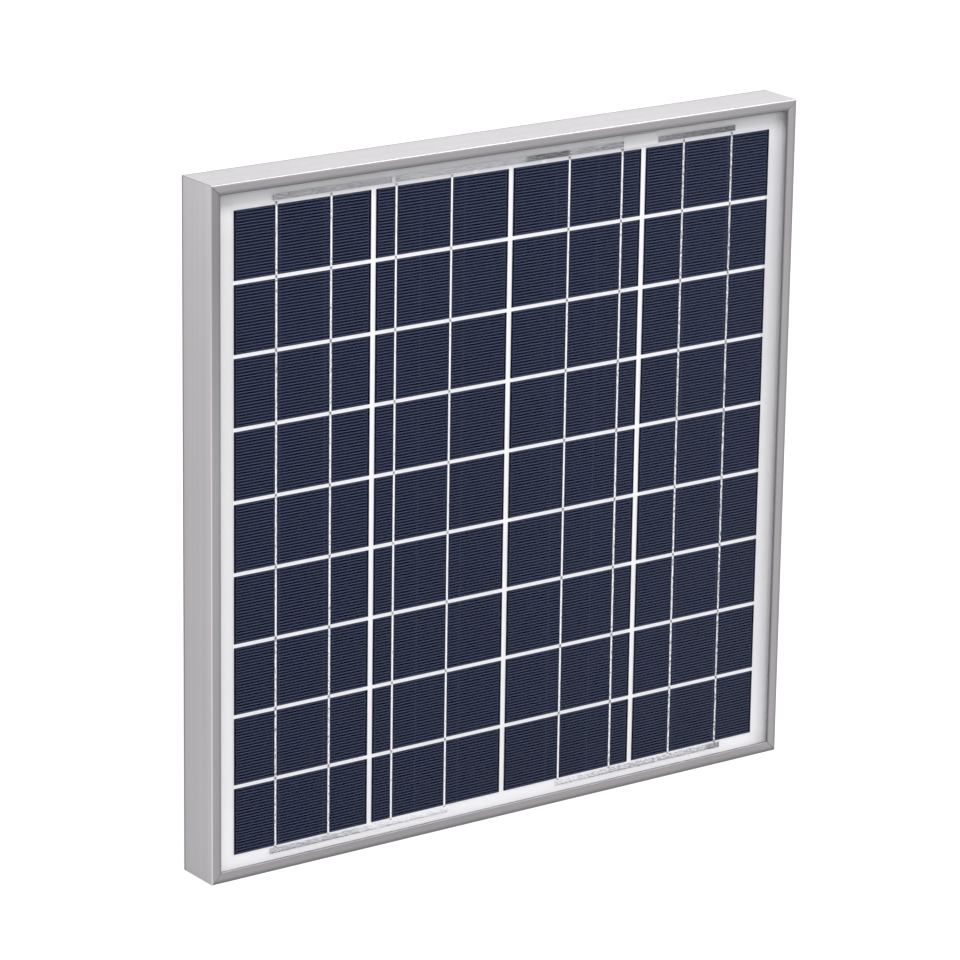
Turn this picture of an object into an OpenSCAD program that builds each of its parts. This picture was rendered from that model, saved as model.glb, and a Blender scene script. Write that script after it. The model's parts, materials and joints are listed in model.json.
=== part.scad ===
// Framed solar panel, standing upright on its bottom rail.
// X runs to the right seen from the front, +Y points out of the back and +Z points up.
// The origin is the middle of the footprint; the glass faces -Y.

/* [Frame] */
// Width over the frame
frame_w = 340; // [320:1:480]
// Height over the frame
frame_h = 340; // [320:1:480]
// Depth of the frame, front to back
frame_d = 25; // [25:0.5:40]
// Width of the front lip that holds the glass
lip_w = 5.4; // [5:0.1:8]
// Thickness of the front lip
lip_t = 1.6; // [1.4:0.1:2.2]
// Rise of the crown across the front lip
crown_h = 0.35; // [0.15:0.05:0.4]
// Radius of the front lip's two edges
lip_edge_r = 0.6; // [0.4:0.05:0.65]
// Thickness of the outer wall
wall_t = 1.4; // [1:0.1:1.8]
// Thickness of the webs around the corner key chamber
web_t = 1.4; // [1:0.1:1.8]
// Width of the rail over its corner key chamber
chamber_w = 8; // [7:0.25:10]
// Width of the back flange
flange_w = 20; // [18:0.5:26]
// Thickness of the back flange
flange_t = 1.4; // [1:0.1:2]
// Gap along each mitre
mitre_gap = 0.12; // [0.05:0.01:0.2]

/* [Frame holes] */
// Diameter of a mounting hole in the back flange
mount_d = 6.5; // [5:0.1:7]
// Height between the mounting holes
mount_span = 200; // [120:1:240]
// Diameter of an earthing hole
earth_d = 4.2; // [3:0.1:5.5]
// Height of the earthing holes above the bottom
earth_z = 40; // [30:1:60]
// Length of a drain slot
drain_l = 9; // [6:0.5:14]
// Width of a drain slot
drain_w = 3; // [2:0.1:4]
// Distance from the panel's middle to a drain slot
drain_x = 118; // [60:1:130]

/* [Corner keys] */
// Length of one leg of a corner key
key_l = 28; // [20:1:40]
// Gap between a corner key and its chamber
key_gap = 0.15; // [0.1:0.01:0.3]
// Depth of the barbs cut in a corner key
barb_d = 0.5; // [0.3:0.1:0.8]
// Barbs on one leg
barb_n = 4; // [2:1:5]

/* [Laminate] */
// Thickness of the glass
glass_t = 3.2; // [2.8:0.1:4]
// Thickness of one encapsulant sheet
eva_t = 0.45; // [0.4:0.05:0.6]
// Thickness of the backsheet
sheet_t = 0.3; // [0.2:0.05:0.5]
// Thickness of the edge tape
tape_t = 0.7; // [0.4:0.1:1]
// Gap between the edge tape and the outer wall
edge_gap = 0.3; // [0.2:0.1:0.6]
// Distance from the lip's inner edge to the edge tape's front leg
tape_back = 0.6; // [0.3:0.1:1]

/* [Cells] */
// Rows of cells
rows = 9; // [7:1:10]
// Thickness of a cell
cell_t = 0.2; // [0.16:0.01:0.24]
// Gap between two columns
gap_x = 2.75; // [1.5:0.25:4]
// Gap between two rows
gap_z = 1.9; // [1.5:0.1:3]
// White border left of the cells
border_left = 9.6; // [6:0.1:14]
// White border right of the cells
border_right = 8; // [6:0.1:14]
// White border above the cells
border_top = 9; // [8:0.1:14]
// White border under the cells
border_bottom = 5.6; // [5:0.1:12]

/* [Ribbons] */
// Width of a cell ribbon
ribbon_w = 1.1; // [0.8:0.1:2]
// Thickness of every ribbon
ribbon_t = 0.15; // [0.1:0.01:0.18]
// Thickness of a bus strip
strip_t = 0.2; // [0.15:0.01:0.2]
// Distance between the two ribbons of a column, column by column
ribbon_span = [30.3, 31.6, 31.5, 29.5];
// Middle of the two ribbons from the middle of the column, column by column
ribbon_shift = [0.5, -10.75, 10.8, -0.15];
// Share of the next cell's back that a ribbon runs along
ribbon_reach = 0.6; // [0.4:0.05:0.8]
// Height of a bus strip
strip_w = 2.7; // [1.8:0.1:3]
// Gap between the cells and a top bus strip
strip_gap_top = 2.1; // [1:0.1:3]
// Gap between the cells and a bottom bus strip
strip_gap_bottom = 1; // [0.8:0.1:2]
// Overhang of a bus strip past its last ribbon
strip_over = 1.9; // [0.5:0.1:2]
// Extra overhang of the two outer ends at the bottom
strip_tail = 1.4; // [0:0.1:2]
// Break between the left and the middle top strips
strip_break = 2.1; // [1:0.1:4]
// Break between the middle and the right top strips, filled by the insulating sheet
patch_w = 21; // [12:0.5:26]
// Height of the insulating sheet in that break
patch_h = 6.2; // [4:0.1:7]
// Reach of the insulating sheet under the top strips
patch_drop = 1.1; // [0:0.1:1.4]
// Thickness of the insulating sheet
patch_t = 0.1; // [0.06:0.01:0.14]

/* [Junction box] */
// Width of the junction box
box_w = 84; // [76:1:110]
// Height of the junction box
box_h = 58; // [54:1:80]
// Thickness of its walls
box_wall = 2; // [1.6:0.1:2.6]
// Thickness of its floor
box_floor = 1.8; // [1.4:0.1:2.4]
// Distance from the edge of the box to its silicone
bond_inset = 1; // [0.5:0.1:2]
// Thickness of the silicone under the box
bond_t = 0.8; // [0.5:0.1:1.2]
// Gap between the junction box and the top back flange
box_drop = 9; // [8:0.5:20]
// Distance from the lid's back to the back of the frame
lid_inset = 0.5; // [0.3:0.1:1.5]
// Thickness of the lid
lid_t = 2.4; // [1.8:0.1:2.6]
// Width of the rim inside the lid
rim_w = 1.6; // [1.2:0.1:2]
// Depth of the rim inside the lid
rim_d = 2.6; // [1.8:0.1:3]
// Gap between the lid's rim and the box walls
rim_gap = 0.3; // [0.25:0.05:0.4]
// Thickness of the lid gasket
gasket_t = 0.6; // [0.4:0.1:0.8]
// Radius of a hinge pin
pin_r = 1; // [0.8:0.05:1.1]
// Gap around a hinge pin
pin_gap = 0.06; // [0.04:0.01:0.1]
// Radius of a hinge knuckle
knuckle_r = 2; // [1.8:0.1:2.4]
// Width of a lid knuckle
knuckle_w = 7; // [5:0.5:9]
// Width of an ear beside a knuckle
ear_w = 3; // [2:0.5:4]
// Height of an ear's foot on the box wall
ear_h = 4; // [3:0.5:6]
// Gap between an ear and a knuckle
ear_gap = 0.3; // [0.2:0.05:0.5]
// Distance from the box's middle to a hinge
hinge_x = 27; // [20:1:29]
// Width of a closing tab
tab_w = 8; // [5:0.5:9]
// Length of a closing tab
tab_l = 6; // [4:0.5:8]
// Distance from the side of the box to a closing tab
tab_inset = 1; // [0.5:0.5:10]

/* [Cable glands] */
// Distance from the box's middle to a gland
gland_x = 20; // [17:0.5:22]
// Radius of the gland's thread
thread_r = 5; // [4.7:0.1:5.2]
// Gap around the gland's thread
thread_gap = 0.1; // [0.05:0.05:0.2]
// Size across the flats of the gland body and nut
gland_af = 12.6; // [12.2:0.1:12.8]
// Length of the gland's hexagon
gland_hex_l = 5; // [3:0.5:7]
// Length of the gland's nose
gland_nose_l = 8; // [6:0.5:12]
// Gap between the nose and the dome nut
nut_gap = 0.3; // [0.25:0.05:0.4]
// Thickness of the dome nut's end
nut_end_t = 2.2; // [1.6:0.1:3]
// Radius of the hole that a cable passes through in the seal
cable_r = 2.5; // [2:0.05:2.8]
// Radius of the seal
seal_r = 3.6; // [3.4:0.05:3.8]
// Extra radius of the gland's passage over the cable hole
passage_clear = 0.5; // [0.2:0.1:0.8]
// Thickness of the ring under the gland's hexagon
ring_t = 0.8; // [0.5:0.1:1.2]
// Thickness of the seal's collar, between the nose and the nut
seal_lip = 0.9; // [0.6:0.1:1.4]
// Gap on both sides of the seal's collar
seal_play = 0.3; // [0.25:0.05:0.5]
// Length of the nut's round dome
dome_l = 3.5; // [2.5:0.5:4.5]
// Fall of the dome towards its end
dome_fall = 2; // [1:0.1:2.4]
// Extra radius of the nut's end hole over the cable hole
end_clear = 0.6; // [0.4:0.1:1]

/* [Terminals] */
// Width of a terminal plate
plate_w = 10; // [8:0.5:12]
// Length of a terminal plate
plate_l = 28; // [26:0.5:30]
// Thickness of a terminal plate
plate_t = 0.8; // [0.6:0.1:1]
// Distance from the box's top wall to the terminal plates
plate_inset = 8; // [7.5:0.5:9]
// Height of the post under a terminal plate
post_h = 4; // [3:0.25:4.5]
// Length of plate that overhangs its post at the top
plate_overhang = 2; // [1:0.5:3]
// Gap between a terminal plate and the lead that rises beside it
lead_gap = 2; // [1.5:0.25:3]
// Length of lead that lies on its terminal plate
lead_lap = 5; // [3:0.5:8]
// Height of the opening in the floor for the leads
window_h = 6; // [5:0.25:7]
// Radius of a terminal screw's shank
screw_r = 1.75; // [1.5:0.05:2]
// Radius of a terminal screw's head
screw_head_r = 3.4; // [3:0.1:3.8]
// Height of a terminal screw's head
screw_head_h = 2.2; // [1.6:0.1:2.6]
// Side of the square clamp washer
washer_s = 8; // [7:0.5:8]
// Thickness of the clamp washer
washer_t = 1; // [0.8:0.1:1.2]
// Gap around a screw's shank
screw_gap = 0.1; // [0.05:0.05:0.2]
// Distance from the plate's lower end to the clamp washer
washer_inset = 0.5; // [0.2:0.1:1.5]
// Width and depth of the slot in a screw's head
slot_w = 1; // [0.8:0.1:1.4]
// Post left under the end of a terminal screw
post_floor = 0.5; // [0.3:0.1:1]
// Gap from the bypass diode's body to the plates and washers
diode_gap = 0.7; // [0.5:0.1:1.2]
// Radius of the bypass diode's body
diode_r = 2.5; // [2:0.1:2.7]
// Length of the bypass diode's body
diode_l = 9; // [7:0.5:12]
// Radius of the diode's legs
leg_r = 0.5; // [0.4:0.05:0.6]

/* [Rating label] */
// Width of the rating label
label_w = 90; // [60:1:120]
// Height of the rating label
label_h = 58; // [40:1:80]
// Thickness of the rating label
label_t = 0.15; // [0.1:0.01:0.2]
// Height of the label's middle above the bottom
label_z = 120; // [70:1:140]

/* [Hidden] */

// Columns of cells, one for each entry in the ribbon lists
cols = len(ribbon_span);

// Facets of a full circle, and of the wide arc across the front lip
round_fn = 48;
crown_fn = 360;
// Reach of a cut past the face it opens
over = 1;

// Depths along Y, front to back
y_front = -frame_d / 2;
y_back = frame_d / 2;
y_glass = y_front + lip_t + tape_t;
y_eva = y_glass + glass_t;
y_cell = y_eva + eva_t;
y_rear = y_cell + cell_t;
y_sheet = y_rear + eva_t;
y_bond = y_sheet + sheet_t;
y_shelf = y_bond + tape_t;
y_floor = y_bond + bond_t;
y_lid = y_back - lid_inset - lid_t;
y_rim = y_lid - gasket_t;

// Depths inside the rail section, from the front face
shelf_v = y_shelf - y_front;
chamber_v = shelf_v + web_t;
chamber_d = frame_d - flange_t - chamber_v;
chamber_u = chamber_w - wall_t - web_t;
crown_r = (lip_w * lip_w / 4 + crown_h * crown_h) / (2 * crown_h);
edge_v = crown_r - sqrt(pow(crown_r - lip_edge_r, 2) - pow(lip_w / 2 - lip_edge_r, 2));
// Middle of the part of the back flange that is free behind the chamber
flange_mid = (chamber_w + flange_w) / 2;

// The laminate's outline and the cell field
lam_in = wall_t + edge_gap + tape_t;
lam_w = frame_w - 2 * lam_in;
lam_h = frame_h - 2 * lam_in;
field_x = -frame_w / 2 + lip_w + border_left;
field_z = lip_w + border_bottom;
cell_w = (frame_w - 2 * lip_w - border_left - border_right - (cols - 1) * gap_x) / cols;
cell_h = (frame_h - 2 * lip_w - border_top - border_bottom - (rows - 1) * gap_z) / rows;
field_top = field_z + rows * cell_h + (rows - 1) * gap_z;
strip_top_z = field_top + strip_gap_top;
strip_bottom_z = field_z - strip_gap_bottom - strip_w;
y_strip = y_cell - ribbon_t - strip_t;

// The junction box and what is in it
box_top = frame_h - flange_w - box_drop;
box_z = box_top - box_h;
hinge_z = box_top + knuckle_r + 2 * ear_gap;
hinge_y = y_lid;
gland_y = (y_floor + y_rim) / 2;
plate_z = box_top - box_wall - plate_inset - plate_l;
plate_y = y_floor + box_floor + post_h;
plate_top = plate_y + plate_t;
lead_z = plate_z + plate_l + lead_gap;
lead_y = y_rear + patch_t;
screw_z = plate_z + washer_inset + washer_s / 2;
screw_depth = post_h - post_floor;
diode_z = screw_z + washer_s / 2 + diode_gap + diode_r;
diode_y = plate_top + diode_gap + diode_r;
window_w = 2 * gland_x + plate_w;
nut_r = gland_af / 2 / cos(30);
hex_z = box_z - ring_t - gland_hex_l;
nose_end = hex_z - gland_nose_l;
collar_end = nose_end - seal_play - seal_lip;

// Places along X of a column's left edge and of its two ribbons
function column_x(c) = field_x + c * (cell_w + gap_x);
function ribbon_x(c, side) = column_x(c) + cell_w / 2 + ribbon_shift[c] + side * ribbon_span[c] / 2;
function row_z(r) = field_z + r * (cell_h + gap_z);

// Height at which a ribbon turns from front to back in the gap under row r; the last is the gap
// above the top row
function turn_z(r) = (r == 0 ? field_z - strip_gap_bottom / 2
                      : r == rows ? field_top + strip_gap_top / 2 : row_z(r) - gap_z / 2) - ribbon_t / 2;

// Ends of the top bus strips
mid_x0 = ribbon_x(1, -1) - ribbon_w / 2;
mid_x1 = ribbon_x(2, 1) + ribbon_w / 2;
left_x1 = mid_x0 - strip_break;
right_x0 = mid_x1 + patch_w;

// A box given by its lowest corner and its size, centred along X
module slab(x, y, z, w, d, h) {
    translate([x - w / 2, y, z]) cube([w, d, h]);
}

// Lays what is drawn in the plane down so that its depth runs along Y from y
module facing_back(y, d) {
    translate([0, y + d, 0]) rotate([90, 0, 0]) linear_extrude(d) children();
}

/* ---- frame ---- */

// Front lip: a shallow crown between two rounded edges; x is the depth, y the way inward
module lip_section() {
    edge = [edge_v - crown_r, lip_w / 2 - lip_edge_r];
    intersection() {
        translate([crown_r, lip_w / 2]) circle(r = crown_r, $fn = crown_fn);
        translate([crown_r, lip_w / 2]) polygon([[0, 0], 1.2 * edge, [1.2 * edge[0], -1.2 * edge[1]]]);
        square([lip_t, lip_w]);
    }
    for (u = [lip_edge_r, lip_w - lip_edge_r])
        translate([edge_v, u]) circle(r = lip_edge_r, $fn = round_fn);
    translate([edge_v, 0]) square([lip_t - edge_v, lip_w]);
}

// Rail section: outer wall, front lip, glass channel, corner key chamber and back flange
module rail_section() {
    difference() {
        union() {
            lip_section();
            translate([edge_v, 0]) square([frame_d - edge_v, wall_t]);
            translate([shelf_v, 0]) square([frame_d - shelf_v, chamber_w]);
            translate([frame_d - flange_t, 0]) square([flange_t, flange_w]);
        }
        translate([chamber_v, wall_t]) square([chamber_d, chamber_u]);
    }
}

// Edge tape section: a U round the laminate's edge
module tape_section() {
    difference() {
        translate([lip_t, wall_t + edge_gap])
            square([shelf_v - lip_t, lip_w - tape_back - wall_t - edge_gap]);
        translate([lip_t + tape_t, lam_in]) square([shelf_v - lip_t - 2 * tape_t, lip_w]);
    }
}

// A bar of a section along the bottom edge, mitred at both ends
module mitred_bar(length) {
    intersection() {
        translate([-length / 2, y_front, 0]) rotate([90, 0, 90]) linear_extrude(length) children();
        facing_back(y_front, frame_d) polygon([
            [-length / 2 + mitre_gap / 2, 0],
            [length / 2 - mitre_gap / 2, 0],
            [length / 2 - mitre_gap / 2 - flange_w, flange_w],
            [-length / 2 + mitre_gap / 2 + flange_w, flange_w]]);
    }
}

// Moves a bar from the bottom edge to one of the four edges
module to_edge(edge) {
    if (edge == "bottom") children();
    if (edge == "top") translate([0, 0, frame_h]) rotate([0, 180, 0]) children();
    if (edge == "left") translate([-frame_w / 2, 0, frame_h / 2]) rotate([0, 90, 0]) children();
    if (edge == "right") translate([frame_w / 2, 0, frame_h / 2]) rotate([0, -90, 0]) children();
}

// A round hole through the back flange of a bar on the bottom edge
module flange_hole(x, d) {
    translate([x, y_back + over, flange_mid]) rotate([90, 0, 0])
        cylinder(h = flange_t + 2 * over, d = d, $fn = round_fn);
}

// A slot with round ends through the back flange, along the bar
module drain_slot(x) {
    straight = drain_l - drain_w;
    for (side = [-1, 1]) flange_hole(x + side * straight / 2, drain_w);
    slab(x, y_back - flange_t - over, flange_mid - drain_w / 2, straight, flange_t + 2 * over, drain_w);
}

module rail_lying() {
    difference() {
        mitred_bar(frame_w) rail_section();
        for (side = [-1, 1]) drain_slot(side * drain_x);
    }
}

// Side rail; along its bar, earth is the earthing hole's place from the middle
module rail_standing(earth) {
    difference() {
        mitred_bar(frame_h) rail_section();
        for (side = [-1, 1]) flange_hole(side * mount_span / 2, mount_d);
        flange_hole(earth, earth_d);
    }
}

module rail_top() { color("#c9cacc") to_edge("top") rail_lying(); }
module rail_bottom() { color("#bfc0c2") to_edge("bottom") rail_lying(); }
module rail_left() { color("#c4c5c7") to_edge("left") rail_standing(frame_h / 2 - earth_z); }
module rail_right() { color("#c4c5c7") to_edge("right") rail_standing(earth_z - frame_h / 2); }

// Corner key at the bottom left: two barbed legs pressed into the chambers of two rails
module corner_key() {
    leg_w = chamber_u - 2 * key_gap;
    start = wall_t + key_gap;
    pitch = (key_l - leg_w) / (barb_n + 1);
    translate([-frame_w / 2, 0, 0]) facing_back(y_front + chamber_v + key_gap, chamber_d - 2 * key_gap)
        difference() {
            translate([start, start]) union() {
                square([key_l, leg_w]);
                square([leg_w, key_l]);
            }
            for (n = [1 : barb_n]) {
                along = start + leg_w + n * pitch;
                across = start + leg_w;
                polygon([[along, across], [along - pitch / 2, across], [along, across - barb_d]]);
                polygon([[across, along], [across, along - pitch / 2], [across - barb_d, along]]);
            }
        }
}

module at_corner(right, top) {
    translate([0, 0, top ? frame_h : 0])
        mirror([0, 0, top ? 1 : 0]) mirror([right ? 1 : 0, 0, 0]) children();
}

module key_in_corner(right, top) { color("#8f9296") at_corner(right, top) corner_key(); }

module edge_tape(edge, length) { color("#3a3b3d") to_edge(edge) mitred_bar(length) tape_section(); }

/* ---- laminate ---- */

module glass() { color("#cfe0dc", 0.35) slab(0, y_glass, lam_in, lam_w, glass_t, lam_h); }

module backsheet() {
    color("#f1f2f1") difference() {
        slab(0, y_sheet, lam_in, lam_w, sheet_t, lam_h);
        for (side = [-1, 1]) lead_way(side, y_sheet - over, sheet_t + 2 * over);
    }
}

// The slit that a lead passes through on its way to the back
module lead_way(side, y, d) {
    slab(side * gland_x, y, lead_z, strip_w, d, ribbon_t);
}

module cells(c) {
    color("#1b2036") for (r = [0 : rows - 1])
        translate([column_x(c), y_cell, row_z(r)]) cube([cell_w, cell_t, cell_h]);
}

// One line of ribbons at x. Each lies on the front of one cell, turns back through the gap
// beside it and runs on along the back of the next cell, down the column or up it. A last one
// joins the back of the end cell, and both ends of the line lie behind the bus strips.
module ribbon_line(x, down) {
    bottom_end = strip_bottom_z + ribbon_t;
    top_end = strip_top_z + strip_w - ribbon_t;
    y_on = y_cell - ribbon_t;
    for (r = [0 : rows - 1]) {
        z = row_z(r);
        turn = turn_z(down ? r + 1 : r);
        low = !down ? z : r == 0 ? bottom_end : turn_z(r);
        high = down ? z + cell_h : r == rows - 1 ? top_end : turn_z(r + 1) + ribbon_t;
        back_low = down ? z + (1 - ribbon_reach) * cell_h : turn;
        back_high = down ? turn + ribbon_t : z + ribbon_reach * cell_h;
        slab(x, y_on, low, ribbon_w, ribbon_t, high - low);
        slab(x, y_cell, turn, ribbon_w, cell_t, ribbon_t);
        slab(x, y_rear, back_low, ribbon_w, ribbon_t, back_high - back_low);
    }
    end_low = down ? turn_z(rows) : bottom_end;
    end_high = down ? top_end : turn_z(0) + ribbon_t;
    slab(x, y_on, end_low, ribbon_w, ribbon_t, end_high - end_low);
}

module ribbons(c) {
    color("#d9dadb") for (side = [-1, 1]) ribbon_line(ribbon_x(c, side), c % 2 == 0);
}

// A bus strip from x0 to x1, on the front of the ribbons' ends
module bus_strip(x0, x1, z) {
    color("#b9bbbd") translate([x0, y_strip, z]) cube([x1 - x0, strip_t, strip_w]);
}

module bus_strip_top_left() { bus_strip(ribbon_x(0, -1) - strip_over, left_x1, strip_top_z); }
module bus_strip_top_middle() { bus_strip(mid_x0, mid_x1, strip_top_z); }
module bus_strip_top_right() { bus_strip(right_x0, ribbon_x(3, 1) + strip_over, strip_top_z); }
module bus_strip_bottom_left() {
    bus_strip(ribbon_x(0, -1) - strip_over - strip_tail, ribbon_x(1, 1) + strip_over, strip_bottom_z);
}
module bus_strip_bottom_right() {
    bus_strip(ribbon_x(2, -1) - strip_over, ribbon_x(3, 1) + strip_over + strip_tail, strip_bottom_z);
}

// Insulating sheet in front of the leads: as high as the strips behind them, higher in the break
module sheet_shape(y, d) {
    translate([left_x1, y, strip_top_z]) cube([right_x0 - left_x1, d, strip_w]);
    translate([mid_x1, y, strip_top_z - patch_drop]) cube([patch_w, d, patch_h]);
}

module insulating_sheet() { color("#f4f4f4") sheet_shape(y_rear, patch_t); }

// A lead: soldered behind its bus strip, along behind the sheet, down behind the cells,
// out through the backsheet and over on to its terminal plate
module lead(side) {
    joint_x = side < 0 ? left_x1 : right_x0;
    run_l = abs(joint_x - side * gland_x) + strip_w * 1.5;
    run_x = (joint_x + side * gland_x) / 2 + side * strip_w / 4;
    drop_h = strip_top_z + strip_w - lead_z;
    slab(joint_x + side * strip_w / 2, y_cell - ribbon_t, strip_top_z,
         strip_w, lead_y - y_cell + ribbon_t, strip_w);
    slab(run_x, lead_y, strip_top_z, run_l, ribbon_t, strip_w);
    slab(side * gland_x, lead_y, lead_z, strip_w, ribbon_t, drop_h);
    lead_way(side, lead_y, plate_top + ribbon_t - lead_y);
    slab(side * gland_x, plate_top, lead_z - lead_gap - lead_lap,
         strip_w, ribbon_t, lead_gap + lead_lap + ribbon_t);
}

module lead_colored(side) { color("#c6a77a") lead(side); }

module front_encapsulant() {
    color("#e8f0f2", 0.3) difference() {
        slab(0, y_eva, lam_in, lam_w, eva_t + cell_t, lam_h);
        for (c = [0 : cols - 1], r = [0 : rows - 1])
            translate([column_x(c), y_cell, row_z(r)]) cube([cell_w, cell_t + over, cell_h]);
        for (c = [0 : cols - 1], side = [-1, 1])
            slab(ribbon_x(c, side), y_cell - ribbon_t, strip_bottom_z, ribbon_w, ribbon_t + cell_t + over,
                 strip_top_z + strip_w - strip_bottom_z);
        bus_strip_top_left();
        bus_strip_top_middle();
        bus_strip_top_right();
        bus_strip_bottom_left();
        bus_strip_bottom_right();
        for (side = [-1, 1]) lead(side);
    }
}

module rear_encapsulant() {
    color("#e8f0f2", 0.3) difference() {
        slab(0, y_rear, lam_in, lam_w, eva_t, lam_h);
        for (c = [0 : cols - 1], side = [-1, 1])
            slab(ribbon_x(c, side), y_rear - over, turn_z(0), ribbon_w, ribbon_t + over,
                 turn_z(rows) + ribbon_t - turn_z(0));
        sheet_shape(y_rear - over, patch_t + over);
        for (side = [-1, 1]) {
            lead(side);
            lead_way(side, y_rear, eva_t + over);
        }
    }
}

module rating_label() { color("#d7d8d8") slab(0, y_bond, label_z - label_h / 2, label_w, label_t, label_h); }

/* ---- junction box ---- */

module box_bond() {
    color("#e6e6e4") difference() {
        slab(0, y_bond, box_z + bond_inset, box_w - 2 * bond_inset, bond_t, box_h - 2 * bond_inset);
        lead_window(y_bond - over, bond_t + 2 * over);
    }
}

// The opening in the box's floor for both leads
module lead_window(y, d) { slab(0, y, lead_z - window_h / 2, window_w, d, window_h); }

// The space between the box's walls
module box_inside(y, d) {
    slab(0, y, box_z + box_wall, box_w - 2 * box_wall, d, box_h - 2 * box_wall);
}

// Puts what is drawn at the origin on both hinges' axis
module at_hinges() {
    for (side = [-1, 1]) translate([side * hinge_x, hinge_y, hinge_z]) children();
}

module x_cylinder(x, w, r) {
    translate([x - w / 2, 0, 0]) rotate([0, 90, 0]) cylinder(h = w, r = r, $fn = round_fn);
}

module junction_box() {
    ear_x = knuckle_w / 2 + ear_gap + ear_w / 2;
    color("#1f2022") difference() {
        union() {
            difference() {
                slab(0, y_floor, box_z, box_w, y_rim - y_floor, box_h);
                box_inside(y_floor + box_floor, frame_d);
            }
            for (side = [-1, 1])
                slab(side * gland_x, y_floor, plate_z, plate_w, plate_y - y_floor, plate_l - plate_overhang);
            at_hinges() for (side = [-1, 1]) {
                x_cylinder(side * ear_x, ear_w, knuckle_r);
                slab(side * ear_x, y_rim - hinge_y - ear_h, box_top - hinge_z - box_wall / 2,
                     ear_w, ear_h, hinge_z - box_top + box_wall / 2);
                slab(side * ear_x, y_rim - hinge_y - ear_h, 0, ear_w, ear_h, knuckle_r / 2);
            }
        }
        lead_window(y_floor - over, box_floor + 2 * over);
        at_hinges() x_cylinder(0, 2 * ear_x + 2 * ear_w, pin_r + pin_gap);
        for (side = [-1, 1]) {
            gland_cylinder(side, box_z - over, box_wall + 2 * over, thread_r + thread_gap);
            screw_cylinder(side, plate_y - screw_depth, screw_depth + over, screw_r + screw_gap);
        }
    }
}

module hinge_pins() {
    pin_l = knuckle_w + 2 * ear_gap + 2 * ear_w;
    color("#9a9c9f") at_hinges() x_cylinder(0, pin_l, pin_r);
}

// A flat ring on top of the box's walls
module box_gasket() {
    color("#4a4b4d") difference() {
        slab(0, y_rim, box_z, box_w, gasket_t, box_h);
        box_inside(y_rim - over, gasket_t + 2 * over);
    }
}

module box_lid() {
    rim_x = box_w - 2 * box_wall - 2 * rim_gap;
    rim_h = box_h - 2 * box_wall - 2 * rim_gap;
    tab_x = box_w / 2 - tab_w / 2 - tab_inset;
    color("#232426") difference() {
        union() {
            slab(0, y_lid, box_z, box_w, lid_t, box_h);
            difference() {
                slab(0, y_lid - rim_d, box_z + box_wall + rim_gap, rim_x, rim_d, rim_h);
                slab(0, y_lid - rim_d - over, box_z + box_wall + rim_gap + rim_w, rim_x - 2 * rim_w,
                     rim_d + over, rim_h - 2 * rim_w);
            }
            for (side = [-1, 1])
                slab(side * tab_x, y_lid - tab_l, box_z - rim_gap - rim_w, tab_w, tab_l + lid_t, rim_w);
            for (side = [-1, 1]) slab(side * tab_x, y_lid, box_z - rim_gap - rim_w, tab_w, lid_t, 2 * rim_w);
            at_hinges() {
                x_cylinder(0, knuckle_w, knuckle_r);
                slab(0, 0, box_top - hinge_z - over, knuckle_w, knuckle_r, hinge_z - box_top + over);
            }
        }
        at_hinges() x_cylinder(0, knuckle_w + 2 * over, pin_r + pin_gap);
    }
}

/* ---- terminals ---- */

// A cylinder on a terminal screw's axis, from depth y backwards
module screw_cylinder(side, y, h, r) {
    translate([side * gland_x, y, screw_z]) rotate([-90, 0, 0]) cylinder(h = h, r = r, $fn = round_fn);
}

module terminal_plate(side) {
    color("#c7c9cb") difference() {
        slab(side * gland_x, plate_y, plate_z, plate_w, plate_t, plate_l);
        screw_cylinder(side, plate_y - over, plate_t + 2 * over, screw_r + screw_gap);
    }
}

module terminal_screws() {
    color("#d9c27a") for (side = [-1, 1]) difference() {
        union() {
            screw_cylinder(side, plate_y - screw_depth, screw_depth + plate_t + washer_t, screw_r);
            screw_cylinder(side, plate_top + washer_t, screw_head_h, screw_head_r);
        }
        slab(side * gland_x, plate_top + washer_t + screw_head_h - slot_w, screw_z - slot_w / 2,
             2 * screw_head_r + over, slot_w + over, slot_w);
    }
}

module clamp_washers() {
    color("#c7c9cb") for (side = [-1, 1]) difference() {
        slab(side * gland_x, plate_top, screw_z - washer_s / 2, washer_s, washer_t, washer_s);
        screw_cylinder(side, plate_top - over, washer_t + 2 * over, screw_r + screw_gap);
    }
}

// Axial diode from one plate to the other, its legs bent down on to the plates
module bypass_diode() {
    color("#2a2b2d") translate([0, diode_y, diode_z]) {
        x_cylinder(0, diode_l, diode_r);
        x_cylinder(0, 2 * gland_x, leg_r);
        for (side = [-1, 1]) translate([side * gland_x, 0, 0]) {
            sphere(r = leg_r, $fn = round_fn);
            translate([0, plate_top - diode_y, 0]) rotate([-90, 0, 0])
                cylinder(h = diode_y - plate_top, r = leg_r, $fn = round_fn);
        }
    }
}

/* ---- cable glands ---- */

// Along a gland's axis, drawn upwards from height z
module gland_axis(side, z) { translate([side * gland_x, gland_y, z]) children(); }

module hex(h) { cylinder(h = h, r = nut_r, $fn = 6); }

module gland_cylinder(side, z, h, r) { gland_axis(side, z) cylinder(h = h, r = r, $fn = round_fn); }

// Body: a hexagon outside the box, a thread through its wall and a nose that takes the seal
module gland_body(side) {
    full_l = gland_nose_l + gland_hex_l + ring_t + box_wall;
    color("#2b2c2e") difference() {
        union() {
            gland_axis(side, hex_z) hex(gland_hex_l);
            gland_cylinder(side, nose_end, full_l, thread_r);
        }
        gland_cylinder(side, nose_end - over, full_l + 2 * over, cable_r + passage_clear);
        gland_cylinder(side, nose_end - over, gland_nose_l + over, seal_r + nut_gap);
    }
}

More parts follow.
